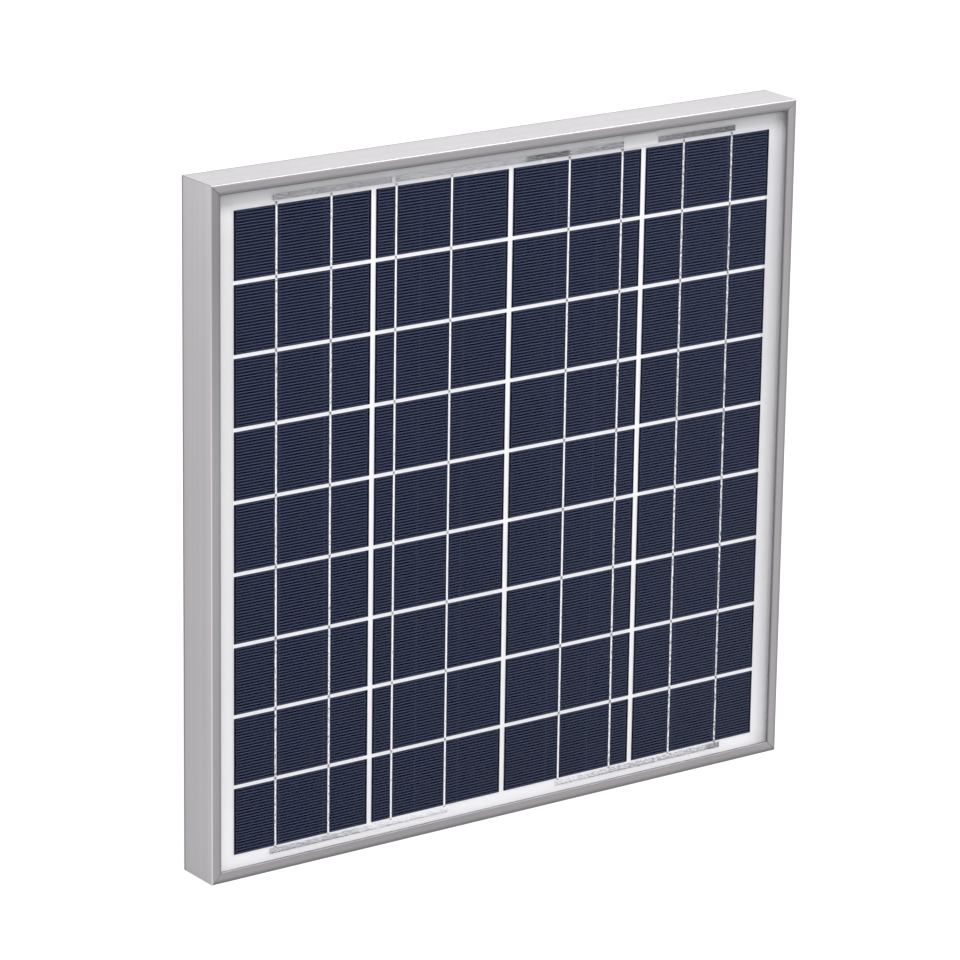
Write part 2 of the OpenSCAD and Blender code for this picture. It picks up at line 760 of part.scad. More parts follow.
// A rubber ring between each hexagon and the box
module gland_rings() {
    color("#4a4b4d") for (side = [-1, 1]) difference() {
        gland_cylinder(side, box_z - ring_t, ring_t, gland_af / 2);
        gland_cylinder(side, box_z - ring_t - over, ring_t + 2 * over, thread_r + thread_gap);
    }
}

// Rubber seal in the nose, with a collar in front of the nose
module gland_seal(side) {
    seal_l = gland_nose_l - seal_play;
    color("#505153") difference() {
        union() {
            gland_cylinder(side, nose_end - seal_play, seal_l, seal_r);
            gland_cylinder(side, collar_end, seal_lip, thread_r - seal_play);
        }
        gland_cylinder(side, collar_end - over, seal_l + seal_lip + 2 * over, cable_r);
    }
}

// Dome nut over the nose: hexagon, round dome and the hole that a cable leaves by
module gland_nut(side) {
    inner_z = collar_end - seal_play;
    end_z = inner_z - nut_end_t;
    open_z = hex_z - seal_play;
    rim = gland_af / 2;
    color("#2b2c2e") difference() {
        union() {
            gland_axis(side, end_z + dome_l) hex(open_z - end_z - dome_l);
            gland_axis(side, end_z) rotate_extrude($fn = round_fn)
                polygon([[0, 0], [rim - dome_fall, 0], [rim - dome_fall / 3, dome_fall / 2],
                         [rim, dome_l], [0, dome_l]]);
        }
        gland_cylinder(side, inner_z, open_z - inner_z + over, thread_r + nut_gap);
        gland_cylinder(side, end_z - over, nut_end_t + 2 * over, cable_r + end_clear);
    }
}

rail_top();
rail_bottom();
rail_left();
rail_right();
key_in_corner(false, true);  // corner_key_top_left
key_in_corner(true, true);  // corner_key_top_right
key_in_corner(false, false);  // corner_key_bottom_left
key_in_corner(true, false);  // corner_key_bottom_right
edge_tape("top", frame_w);  // edge_tape_top
edge_tape("bottom", frame_w);  // edge_tape_bottom
edge_tape("left", frame_h);  // edge_tape_left
edge_tape("right", frame_h);  // edge_tape_right
glass();
front_encapsulant();
rear_encapsulant();
backsheet();
cells(0);  // cells_column_1
cells(1);  // cells_column_2
cells(2);  // cells_column_3
cells(3);  // cells_column_4
ribbons(0);  // ribbons_column_1
ribbons(1);  // ribbons_column_2
ribbons(2);  // ribbons_column_3
ribbons(3);  // ribbons_column_4
bus_strip_top_left();
bus_strip_top_middle();
bus_strip_top_right();
bus_strip_bottom_left();
bus_strip_bottom_right();
insulating_sheet();
lead_colored(-1);  // lead_left
lead_colored(1);  // lead_right
box_bond();
junction_box();
box_gasket();
box_lid();
hinge_pins();
terminal_plate(-1);  // terminal_plate_left
terminal_plate(1);  // terminal_plate_right
terminal_screws();
clamp_washers();
bypass_diode();
gland_body(-1);  // gland_body_left
gland_body(1);  // gland_body_right
gland_rings();
gland_seal(-1);  // gland_seal_left
gland_seal(1);  // gland_seal_right
gland_nut(-1);  // gland_nut_left
gland_nut(1);  // gland_nut_right
rating_label();
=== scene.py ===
import json
import math

import bmesh
import bpy
import numpy as np
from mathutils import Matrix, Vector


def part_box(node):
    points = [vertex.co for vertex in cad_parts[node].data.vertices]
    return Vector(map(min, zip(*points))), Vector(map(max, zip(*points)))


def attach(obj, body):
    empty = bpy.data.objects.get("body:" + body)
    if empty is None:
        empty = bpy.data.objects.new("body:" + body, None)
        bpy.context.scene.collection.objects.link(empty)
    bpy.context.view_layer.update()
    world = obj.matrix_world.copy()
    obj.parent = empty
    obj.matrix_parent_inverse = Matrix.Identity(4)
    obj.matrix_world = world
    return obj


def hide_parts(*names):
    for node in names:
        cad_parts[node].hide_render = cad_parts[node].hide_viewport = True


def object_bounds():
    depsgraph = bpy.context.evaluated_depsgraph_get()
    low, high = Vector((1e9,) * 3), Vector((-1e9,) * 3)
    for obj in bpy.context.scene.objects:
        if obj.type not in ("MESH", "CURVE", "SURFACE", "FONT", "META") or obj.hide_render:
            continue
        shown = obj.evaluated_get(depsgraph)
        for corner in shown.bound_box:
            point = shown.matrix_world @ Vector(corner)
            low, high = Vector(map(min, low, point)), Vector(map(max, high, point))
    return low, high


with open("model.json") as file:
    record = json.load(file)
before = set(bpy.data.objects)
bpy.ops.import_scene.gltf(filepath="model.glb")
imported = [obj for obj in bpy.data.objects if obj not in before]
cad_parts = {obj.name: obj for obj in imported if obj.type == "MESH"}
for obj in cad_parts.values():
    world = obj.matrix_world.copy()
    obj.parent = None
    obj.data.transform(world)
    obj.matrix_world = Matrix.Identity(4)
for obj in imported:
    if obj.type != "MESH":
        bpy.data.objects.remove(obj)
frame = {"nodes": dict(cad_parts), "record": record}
cad_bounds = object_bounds()

MM = 0.001
ROWS = 9
COLUMNS = (1, 2, 3, 4)
GAP_Z = 1.9 * MM  # between the cells of a column
FRONT_STEPS, TURN_STEPS, BACK_STEPS = 40, 14, 12  # points along a ribbon
NOISE_LEVELS = (0.3, 0.7)  # where nearly all levels of a noise lie
NODES = frame["nodes"]
BODIES = {node: body for body, nodes in frame["record"]["behaviour"]["bodies"].items()
          for node in nodes}


# ---- shader nodes ----

def linear(code):
    """The linear colour of an sRGB hex value: each channel c is c / 12.92 below 0.04045, and
    ((c + 0.055) / 1.055) to the power 2.4 above."""
    parts = [int(code[i:i + 2], 16) / 255 for i in (1, 3, 5)]
    return tuple(c / 12.92 if c <= 0.04045 else ((c + 0.055) / 1.055) ** 2.4
                 for c in parts) + (1.0,)


def add(tree, kind, inputs=None, **settings):
    """Adds a node, sets its properties and sets or links its inputs; a node given as an input
    is linked by its first output."""
    made = tree.nodes.new(kind)
    for name, value in settings.items():
        setattr(made, name, value)
    for name, value in (inputs or {}).items():
        if isinstance(value, bpy.types.Node):
            value = value.outputs[0]
        if isinstance(value, bpy.types.NodeSocket):
            tree.links.new(value, made.inputs[name])
        else:
            made.inputs[name].default_value = value
    return made


def maths(tree, operation, *values):
    """A Math node with its inputs in order."""
    return add(tree, "ShaderNodeMath", dict(enumerate(values)), operation=operation)


def chain(tree, operation, first, *others):
    """The operation on the first two values, then on the result and each further value."""
    for other in others:
        first = maths(tree, operation, first, other)
    return first


def ramp(tree, value, start, end, low=0.0, high=1.0, **settings):
    """Goes from low to high while the value goes from start to end, and is level beyond."""
    return add(tree, "ShaderNodeMapRange", {"Value": value, "From Min": start, "From Max": end,
                                            "To Min": low, "To Max": high}, **settings)


def factor(tree, share, gain):
    """1 where the share is 0, and gain where it is 1."""
    return ramp(tree, share, 0.0, 1.0, 1.0, gain)


def noise(tree, vector, size, detail, **more):
    """Noise with features of about the size."""
    return add(tree, "ShaderNodeTexNoise",
               {"Vector": vector, "Scale": 1 / size, "Detail": detail, **more})


def levels(tree, grain, low, high):
    """A noise's levels spread from low to high."""
    return ramp(tree, grain, *NOISE_LEVELS, low, high)


def axes_of(tree, vector):
    """The X, Y and Z of a vector."""
    return list(add(tree, "ShaderNodeSeparateXYZ", {0: vector}).outputs)


def facing_axes(tree):
    """The X, Y and Z of the direction that the surface faces in."""
    return axes_of(tree, add(tree, "ShaderNodeTexCoord").outputs["Normal"])


def tinted(tree, colour, gain):
    """The colour, a hex value or a link, times the gain."""
    colour = linear(colour)[:3] if isinstance(colour, str) else colour
    return add(tree, "ShaderNodeVectorMath", {0: colour, "Scale": gain}, operation="SCALE")


def mixed(tree, share, first, second):
    """The colour at the share of the way between two, each a hex value or a link. A colour Mix
    node's sockets share their names with its other kinds', so places name them."""
    first, second = (linear(end) if isinstance(end, str) else end for end in (first, second))
    made = add(tree, "ShaderNodeMix", {0: share, 6: first, 7: second}, data_type="RGBA")
    return made.outputs[2]


def new_material(name):
    """An empty material, its node tree and its place on the object."""
    made = bpy.data.materials.new(name)
    made.use_nodes = True
    tree = made.node_tree
    tree.nodes.clear()
    place = add(tree, "ShaderNodeTexCoord").outputs["Object"]
    return made, tree, place


def let_light_by(tree, shader):
    """The shader for all rays but those to lamps, which go straight on: in the clear block round
    thin pieces, real rays bend and reach the film behind their edges, where straight ones
    would leave broad shadows."""
    path = add(tree, "ShaderNodeLightPath")
    through = add(tree, "ShaderNodeBsdfTransparent", {"Color": linear("#ffffff")})
    return add(tree, "ShaderNodeMixShader",
               {0: path.outputs["Is Shadow Ray"], 1: shader, 2: through})


def finish_material(tree, shader):
    """Makes the shader the material's surface."""
    add(tree, "ShaderNodeOutputMaterial", {"Surface": shader})


# ---- meshes ----

def placed(name, data):
    """A new object with the data, in the scene."""
    made = bpy.data.objects.new(name, data)
    bpy.context.scene.collection.objects.link(made)
    return made


def mesh_piece(name, verts, faces, material, stands_for, smooth=True, sharp=30):
    """A mesh of the points and faces in an object at the origin, with the material given, which
    stands for CAD nodes, hides them and rides as the first of them does."""
    mesh = bpy.data.meshes.new(name)
    mesh.from_pydata(verts.tolist(), [], faces)
    mesh.validate()
    mesh.polygons.foreach_set("use_smooth", [smooth] * len(mesh.polygons))
    if smooth:
        mesh.set_sharp_from_angle(angle=math.radians(sharp))
    mesh.materials.append(material)
    piece = placed(name, mesh)
    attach(piece, BODIES[stands_for[0]])
    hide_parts(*stands_for)


def grid_faces(rows, cols, start=0, close_rows=False, close_cols=False):
    """Quads of a rows by cols grid of points in row order; closing joins the last to the first."""
    r = np.arange(rows if close_rows else rows - 1)
    c = np.arange(cols if close_cols else cols - 1)
    r, c = np.meshgrid(r, c, indexing="ij")
    r, c = r.ravel(), c.ravel()
    r1, c1 = (r + 1) % rows, (c + 1) % cols
    quads = np.stack([r * cols + c, r * cols + c1, r1 * cols + c1, r1 * cols + c], 1) + start
    return quads.tolist()


def carried(points, start):
    """Faces of a closed section carried along a path: points has the shape (steps, section, 3).
    The sides are a grid closed round the section, and both ends are one face each."""
    steps, around = points.shape[:2]
    last = start + (steps - 1) * around
    ends = [list(range(start + around - 1, start - 1, -1)), list(range(last, last + around))]
    return grid_faces(steps, around, start, close_cols=True) + ends


def many(blocks):
    """Points and faces of several carried sections as one mesh."""
    verts, faces, start = [], [], 0
    for block in blocks:
        faces += carried(block, start)
        verts.append(block.reshape(-1, 3))
        start += block.shape[0] * block.shape[1]
    return np.concatenate(verts), faces


def ripple(along, across, seed):
    """A smooth uneven height between about -1 and 1: the mean of four sines whose lengths have
    no common measure, each turned a little against the others. Lengths are in millimetres."""
    total = 0.0
    sines = ((5.3, 2.1), (9.7, 3.4), (3.1, 1.3), (17.0, 5.9))
    for k, (length, width) in enumerate(sines):
        total = total + np.sin(2 * np.pi * (along / length + across / width) + seed * (k + 1.7))
    return total / len(sines)


def softened(name, material, width, fluted=False):
    """A copy of a CAD node's surface with its doubles merged and its flat triangles joined,
    whose edges a bevel then breaks by width, as deburring or a mould does. On a fluted piece
    short edges are merged too, and the bevel is kept off the neighbouring edges."""
    merged, flat, sharp = (0.02 if fluted else 0.002) * MM, math.radians(0.1), math.radians(30)
    source = NODES[name].data
    work = bmesh.new()
    for vertex in source.vertices:
        work.verts.new(vertex.co)
    work.verts.ensure_lookup_table()
    for face in source.polygons:
        work.faces.new([work.verts[v] for v in face.vertices])
    bmesh.ops.remove_doubles(work, verts=work.verts, dist=merged)
    bmesh.ops.dissolve_limit(work, angle_limit=flat, verts=work.verts, edges=work.edges)
    mesh = bpy.data.meshes.new(name + "_finished")
    work.to_mesh(mesh)
    work.free()
    mesh.polygons.foreach_set("use_smooth", [True] * len(mesh.polygons))
    mesh.set_sharp_from_angle(angle=sharp)
    mesh.materials.append(material)
    piece = placed(name + "_finished", mesh)
    broken = piece.modifiers.new("broken_edges", "BEVEL")
    broken.width, broken.segments, broken.limit_method = width * MM, 2, "ANGLE"
    broken.angle_limit, broken.use_clamp_overlap = sharp, fluted
    broken.harden_normals = True
    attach(piece, BODIES[name])
    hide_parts(name)


# ---- materials ----

def lip_edges(tree, place, reflection_shade):
    """Marks of a rail, each as a share and the tone's factor where the share is 1. The lip's outer
    edge, smoother and drawn brighter but for the right one, and the sharp corner on it, drawn
    brighter still: painted highlights. The darker parts: the lip's inner edge and the edges that
    face down or right, painted shade; the back edges, drawn darker; the mitres, dark joints. The
    way from the wall's front, 0, to its back, 1, along which the rail is drawn darker: painted
    shade. The left lip's upper part, drawn darker by the function's last argument: a painted
    darker reflection. Then the left wall, drawn lighter: painted light."""
    low, high = np.array(cad_bounds)
    x, y, z = axes_of(tree, place)
    facing_x, facing_y, facing_z = facing_axes(tree)
    side = maths(tree, "SUBTRACT", high[0], maths(tree, "ABSOLUTE", x))
    above = maths(tree, "SUBTRACT", high[2], z)
    inset = chain(tree, "MINIMUM", side, above, z)

    def inward(start, end):
        """From 0 to 1 between two millimetre marks in from the outline."""
        return ramp(tree, inset, start * MM, end * MM)

    def from_front(start, end):
        """From 0 to 1 between two millimetre marks back from the front."""
        return ramp(tree, y, low[1] + start * MM, low[1] + end * MM)

    # painted highlights: the lip's outer edge, but for the right one, and the sharp corner on it
    # are drawn brighter; the outer edge is also smoother
    highlight_facing = ramp(tree, maths(tree, "SUBTRACT", facing_z, facing_x), -0.3, 0.0)
    polish_and_highlight = chain(tree, "MULTIPLY", inward(0.65, 0.35), from_front(1.0, 0.7), highlight_facing)
    front = from_front(0.6, 0.4)
    corner = chain(tree, "MULTIPLY", inward(0.5, 0.3), front, highlight_facing)

    # painted shade: the lip's inner edge next to the glass and the edges that face down or right
    # are drawn darker; the back edges are drawn darker too, and the mitres as dark joints
    shallow = from_front(1.3, 0.8)
    not_upward = ramp(tree, facing_z, 0.3, 0.1)
    inner = chain(tree, "MULTIPLY", inward(4.5, 5.25), shallow, not_upward)
    downward = ramp(tree, facing_z, -0.02, -0.22)
    rightward = ramp(tree, facing_x, 0.04, 0.3, 0.0, 0.9)
    turned = maths(tree, "MAXIMUM", downward, rightward)
    turned = maths(tree, "MULTIPLY", turned, shallow)
    rear = ramp(tree, y, high[1] - 1.3 * MM, high[1] - 0.9 * MM)
    rear = maths(tree, "MULTIPLY", rear, inward(0.7, 0.4))
    mitre_w, mitre_share = 0.3 * MM, 0.8
    mitre = maths(tree, "COMPARE", side, maths(tree, "MINIMUM", above, z), mitre_w / 2)
    mitre = chain(tree, "MULTIPLY", mitre, front, mitre_share)
    shade_and_joints = chain(tree, "MAXIMUM", inner, turned, rear, mitre)

    # painted shade: the rail is drawn darker towards its back
    painted_shade_to_back = ramp(tree, y, low[1], high[1])
    # painted reflection: the left lip's upper part is drawn darker, as a dark reflection there
    upper = ramp(tree, z, 200 * MM, 300 * MM)
    left = maths(tree, "LESS_THAN", x, low[0] / 2)
    lip = maths(tree, "LESS_THAN", facing_y, -0.5)
    painted_dark_reflection = chain(tree, "MULTIPLY", upper, left, lip)
    # painted light: the left wall is drawn lighter
    painted_light_left_wall = maths(tree, "LESS_THAN", facing_x, -0.9)
    return ((polish_and_highlight, 1.25), (corner, 1.5), (shade_and_joints, 0.5), (painted_shade_to_back, 0.89), (painted_dark_reflection, reflection_shade),
            (painted_light_left_wall, 1.2))


def bare_metal(name, colour, along, seed, roughness=0.36, grain_mm=0.35, rail=False,
               reflection_shade=1.0):
    """Metal bar: the etch or the drawing makes a fine grain that blurs reflections, and the die
    leaves faint bands and lines along it, some millimetres and some tenths wide. A rail also
    has the marks of lip_edges, painted highlights, shade and light among them, and its highlit
    outer edge is smoother too."""
    made, tree, place = new_material(name)
    bands = ((4.0, 0.968, 1.028), (0.6, 0.97, 1.025))  # millimetres wide, tones from and to
    length, tones = 900 * MM, []
    for across, low, high in bands:
        stretch = [1 / (across * MM)] * 3
        stretch[along] = 1 / length
        die = add(tree, "ShaderNodeMapping",
                  {"Vector": place, "Location": (seed, seed, seed), "Scale": stretch})
        tones.append(levels(tree, noise(tree, die, 1.0, 1.0), low, high))
    tones.append(levels(tree, noise(tree, place, 60 * MM, 2.0), 0.98, 1.02))
    grit = noise(tree, place, grain_mm * MM, 3.0)
    rough = levels(tree, grit, roughness - 0.05, roughness + 0.05)
    if rail:
        marks = lip_edges(tree, place, reflection_shade)
        tones += [factor(tree, share, gain) for share, gain in marks]
        rough = maths(tree, "MULTIPLY_ADD", marks[0][0], -0.12, rough)
    paint = tinted(tree, colour, chain(tree, "MULTIPLY", *tones))
    bump = add(tree, "ShaderNodeBump", {"Strength": 0.12, "Distance": 0.02 * MM, "Height": grit})
    finish_material(tree, add(tree, "ShaderNodeBsdfPrincipled", {
        "Base Color": paint, "Metallic": 1.0, "Roughness": rough, "Normal": bump}))
    return made


def low_iron_glass():
    """Tempered low-iron glass with the cured encapsulant behind it, one clear block to the eye.
    Its front has an anti-reflective coat, so it mirrors little. Light from lamps and off the
    cells goes straight through, since bent rays would miss the lamps."""
    made, tree, _ = new_material("low_iron_glass")
    clear = add(tree, "ShaderNodeBsdfPrincipled", {
        "Base Color": linear("#fefeff"), "Roughness": 0.0, "IOR": 1.5,
        "Transmission Weight": 1.0, "Specular Tint": linear("#565a60")})
    path = add(tree, "ShaderNodeLightPath")
    either = maths(tree, "MAXIMUM", path.outputs["Is Shadow Ray"], path.outputs["Is Diffuse Ray"])
    through = add(tree, "ShaderNodeBsdfTransparent", {"Color": linear("#fcfcfd")})
    finish_material(tree, add(tree, "ShaderNodeMixShader", {0: either, 1: clear, 2: through}))
    return made


def within_cells(tree, axes, first, pitch):
    """For X and for Z, how far a point lies past its cell's low side, and the pitches from the
    first cell's low side."""
    found = []
    for axis, start, step in zip((axes[0], axes[2]), first, pitch):
        turns = maths(tree, "DIVIDE", maths(tree, "SUBTRACT", axis, start), step)
        found.append((maths(tree, "MULTIPLY", maths(tree, "FRACT", turns), step), turns))
    return found


def silicon_cell(first, pitch, size):
    """Silicon wafer with a blue anti-reflective coat and printed silver fingers across it. The
    fingers are 1.455 mm apart and end at a thin line near both sides; two more thin lines
    cross them. The fingers are drawn 0.45 mm wide, three times the real width, with soft
    sides, so that they show as even stripes."""
    made, tree, place = new_material("silicon_cell")
    ways = within_cells(tree, axes_of(tree, place), first, pitch)
    (across, columns), (up, rows) = ways
    finger_pitch, finger_w, finger_first = 1.455 * MM, 0.45 * MM, 0.63 * MM
    away = maths(tree, "SUBTRACT", up, finger_first)
    away = maths(tree, "PINGPONG", away, finger_pitch / 2)
    finger = ramp(tree, away, 0.2 * finger_w, 0.8 * finger_w, 1.0, 0.0)
    half_w = size[0] / 2
    finger_end = half_w - 1.4 * MM
    from_middle = maths(tree, "ABSOLUTE", maths(tree, "SUBTRACT", across, half_w))
    finger = maths(tree, "MULTIPLY", finger, maths(tree, "LESS_THAN", from_middle, finger_end))
    lines = []
    for middle in (finger_end, half_w / 3):
        off = maths(tree, "ABSOLUTE", maths(tree, "SUBTRACT", from_middle, middle))
        lines.append(ramp(tree, off, 0.06 * MM, 0.2 * MM, 0.7, 0.0))
    printed = chain(tree, "MAXIMUM", finger, *lines)
    # crystals some millimetres across, each cell's own tone, and a slow drift of the coat's hue
    crystal = add(tree, "ShaderNodeTexVoronoi", {"Vector": place, "Scale": 1 / (9 * MM),
                                                 "Randomness": 1.0}, feature="F1")
    grain = axes_of(tree, crystal.outputs["Color"])[0]
    cell_no = add(tree, "ShaderNodeCombineXYZ", {0: maths(tree, "FLOOR", columns),
                                                 1: maths(tree, "FLOOR", rows)})
    own = add(tree, "ShaderNodeTexWhiteNoise", {"Vector": cell_no}, noise_dimensions="3D")
    tone = maths(tree, "MULTIPLY", ramp(tree, grain, 0.0, 1.0, 0.92, 1.10),
                 ramp(tree, own, 0.0, 1.0, 0.9, 1.08))
    hue = mixed(tree, noise(tree, place, 28 * MM, 1.0), "#050c1d", "#09091d")
    paint = mixed(tree, printed, tinted(tree, hue, tone), "#434964")
    shader = add(tree, "ShaderNodeBsdfPrincipled", {
        "Base Color": paint, "Roughness": 0.45, "Specular IOR Level": 0.0})
    finish_material(tree, let_light_by(tree, shader))
    return made


def tinned_copper(name, dark, bright, grain, share, rough, wrinkle, lift=((0, 0.0),),
                  bends=None, sleeve=None):
    """Copper ribbon dipped in solder. The solder lies in soft waves and flat specks, so the
    ribbon is bright in some places and grey in others. Grain is the specks' length along X and
    along Z in millimetres, and share the noise levels that the dark and the bright end stand
    at. Lift gives places along X in millimetres and how much brighter the solder is drawn
    there; on the ribbons this is painted reflection. Bends gives the place along Z of one bend
    and the step to the next, where the ribbon is drawn darker. Sleeve is the place along Y up
    to which a white film wraps the copper."""
    made, tree, place = new_material(name)
    x, y, z = axes_of(tree, place)
    stretch = (1 / (grain[0] * MM), 1 / (1.0 * MM), 1 / (grain[1] * MM))
    moved = add(tree, "ShaderNodeMapping", {"Vector": place, "Scale": stretch})
    specks = noise(tree, moved, 1.0, 3.0, Roughness=0.6)
    steps = [ramp(tree, x, start * MM, end * MM, 0.0, after - before)
             for (start, before), (end, after) in zip(lift, lift[1:])]
    lifted = chain(tree, "ADD", specks, *steps, lift[0][1])
    level = ramp(tree, lifted, *share, interpolation_type="SMOOTHSTEP")
    if bends:
        first_bend, bend_step = bends
        away = maths(tree, "SUBTRACT", z, first_bend)
        away = maths(tree, "PINGPONG", away, bend_step / 2)
        shine = ramp(tree, away, 0.5 * MM, 1.0 * MM, 0.25, 1.0)
        level = maths(tree, "MULTIPLY", level, shine)
    waves = noise(tree, place, 1.3 * MM, 2.0)
    uneven = ramp(tree, waves, 0.35, 0.65, rough - 0.08, rough + 0.08)
    bump = add(tree, "ShaderNodeBump",
               {"Strength": wrinkle, "Distance": 0.1 * MM, "Height": specks})
    shader = add(tree, "ShaderNodeBsdfPrincipled", {
        "Base Color": mixed(tree, level, dark, bright), "Metallic": 1.0, "Roughness": uneven,
        "Normal": bump})
    if sleeve is None:
        shader = let_light_by(tree, shader)
    else:
        film = add(tree, "ShaderNodeBsdfPrincipled", {
            "Base Color": linear("#f6f5f7"), "Roughness": uneven, "Specular IOR Level": 0.35})
        bare = maths(tree, "GREATER_THAN", y, sleeve)
        shader = add(tree, "ShaderNodeMixShader", {0: bare, 1: film, 2: shader})
    finish_material(tree, shader)
    return made


def moulded(name, colour, roughness, grain_mm, relief, level=0.5, spread=0.06, drift=0.04):
    """Moulded plastic, rubber or film: one colour with a slow drift, and the grain that the
    mould or roller leaves, as bump and as small changes of roughness."""
    made, tree, place = new_material(name)
    grain = noise(tree, place, grain_mm * MM, 3.0)
    tone = levels(tree, noise(tree, place, 40 * MM, 2.0), 1 - drift, 1 + drift)
    rough = levels(tree, grain, roughness - spread, roughness + spread)
    bump = add(tree, "ShaderNodeBump",
               {"Strength": 0.5, "Distance": relief * MM, "Height": grain})
    finish_material(tree, add(tree, "ShaderNodeBsdfPrincipled", {
        "Base Color": tinted(tree, colour, tone), "Roughness": rough,
        "Specular IOR Level": level, "Normal": bump}))
    return made


def diode_coat(half):
    """Black epoxy as far as half the body's length from the middle, with the grey band that
    marks one end, and tinned legs beyond."""
    made, tree, place = new_material("black_epoxy_and_legs")
    x = axes_of(tree, place)[0]
    leg = maths(tree, "GREATER_THAN", maths(tree, "ABSOLUTE", x), half)
    mark = maths(tree, "COMPARE", x, 0.6 * half, 0.12 * half)
    grain = noise(tree, place, 0.5 * MM, 3.0)
    tone = levels(tree, grain, 0.92, 1.06)
    rough = levels(tree, grain, 0.24, 0.36)
    body = tinted(tree, mixed(tree, mark, "#161617", "#a8a9ab"), tone)
    epoxy = add(tree, "ShaderNodeBsdfPrincipled", {"Base Color": body, "Roughness": rough})
    wire = add(tree, "ShaderNodeBsdfPrincipled", {
        "Base Color": tinted(tree, "#c0c2c4", tone), "Metallic": 1.0, "Roughness": rough})
    finish_material(tree, add(tree, "ShaderNodeMixShader", {0: leg, 1: epoxy, 2: wire}))
    return made


def backsheet_film(first, pitch, size):
    """White laminated film with a satin roller grain. On its back the cells stand out a little
    through it, since the hot press draws the film down between them."""
    made, tree, place = new_material("white_backsheet_film")
    x, y, z = axes = axes_of(tree, place)
    flats = []
    for (past, _), length in zip(within_cells(tree, axes, first, pitch), size):
        away = maths(tree, "ABSOLUTE", maths(tree, "SUBTRACT", past, length / 2))
        flats.append(ramp(tree, away, length / 2 - 1.2 * MM, length / 2 + 1.0 * MM, 1.0, 0.0,
                          interpolation_type="SMOOTHSTEP"))
    behind = maths(tree, "GREATER_THAN", facing_axes(tree)[1], 0.5)
    pressed = add(tree, "ShaderNodeBump", {"Distance": 0.06 * MM, "Strength": behind,
                                           "Height": chain(tree, "MULTIPLY", *flats)})
    # the film is drawn whitest between and below the cells and darker beside and over them,
    # most of all beside them away from the corners: painted shade, which leaves the bottom border
    # brightest
    edge = 0.5 * MM
    field_top = first[1] + ROWS * pitch[1] - GAP_Z
    beside = ramp(tree, maths(tree, "ABSOLUTE", x), -first[0], edge - first[0])
    over = ramp(tree, z, field_top, field_top + edge)
    border_shade = maths(tree, "MULTIPLY", beside, ramp(tree, z, 10 * MM, 50 * MM))
    border_shade = maths(tree, "MAXIMUM", border_shade, over)
    sides = chain(tree, "MULTIPLY", beside, ramp(tree, z, 50 * MM, 250 * MM),
                  ramp(tree, z, 332 * MM, 312 * MM))
    # painted shade: the film is drawn darker beside the field and over it
    kept = maths(tree, "MULTIPLY", factor(tree, sides, 0.87), factor(tree, border_shade, 0.9))
    slow = levels(tree, noise(tree, place, 70 * MM, 2.0), 0.985, 1.0)
    tone = maths(tree, "MULTIPLY", slow, kept)
    grain = noise(tree, place, 0.9 * MM, 3.0)
    rough = levels(tree, grain, 0.42, 0.55)
    bump = add(tree, "ShaderNodeBump", {"Strength": 0.4, "Distance": 0.008 * MM,
                                        "Height": grain, "Normal": pressed})
    finish_material(tree, add(tree, "ShaderNodeBsdfPrincipled", {
        "Base Color": tinted(tree, "#faf9fb", tone), "Roughness": rough,
        "Specular IOR Level": 0.35, "Normal": bump}))
    return made


# ---- sizes taken from the frame ----

column_boxes = {n: np.array(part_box("cells_column_%d" % n)) for n in COLUMNS}
field_low, field_high = column_boxes[1][0], column_boxes[4][1]
cell_w = column_boxes[1][1][0] - column_boxes[1][0][0]
column_pitch = column_boxes[2][0][0] - column_boxes[1][0][0]
row_pitch = (field_high[2] - field_low[2] + GAP_Z) / ROWS
cell_h = row_pitch - GAP_Z
grid = ((field_low[0], field_low[2]), (column_pitch, row_pitch), (cell_w, cell_h))

# ---- materials of every node ----

rail_x = bare_metal("anodised_aluminium_lying", "#9a979a", 0, 1.7, rail=True)
# the upright rails' left lip is drawn darker near its top: a painted darker reflection
rail_z = bare_metal("anodised_aluminium_upright", "#9e9b9e", 2, 5.3, rail=True, reflection_shade=0.76)
glass_mat = low_iron_glass()
cell_mat = silicon_cell(*grid)
# painted reflection: the ribbons are drawn brighter in the middle of the panel and dimmer to the
# right
ribbon_mat = tinned_copper(
    "tinned_copper_ribbon", "#85878d", "#fdfdfe", (0.6, 1.1), (0.33, 0.47), 0.35, 0.4,
    ((-132, -0.04), (-100, -0.01), (-65, 0.04), (-34, 0.06), (35, 0.03), (66, -0.02),
     (103, -0.06), (133, -0.09)),
    bends=(field_low[2] - GAP_Z / 2, row_pitch))
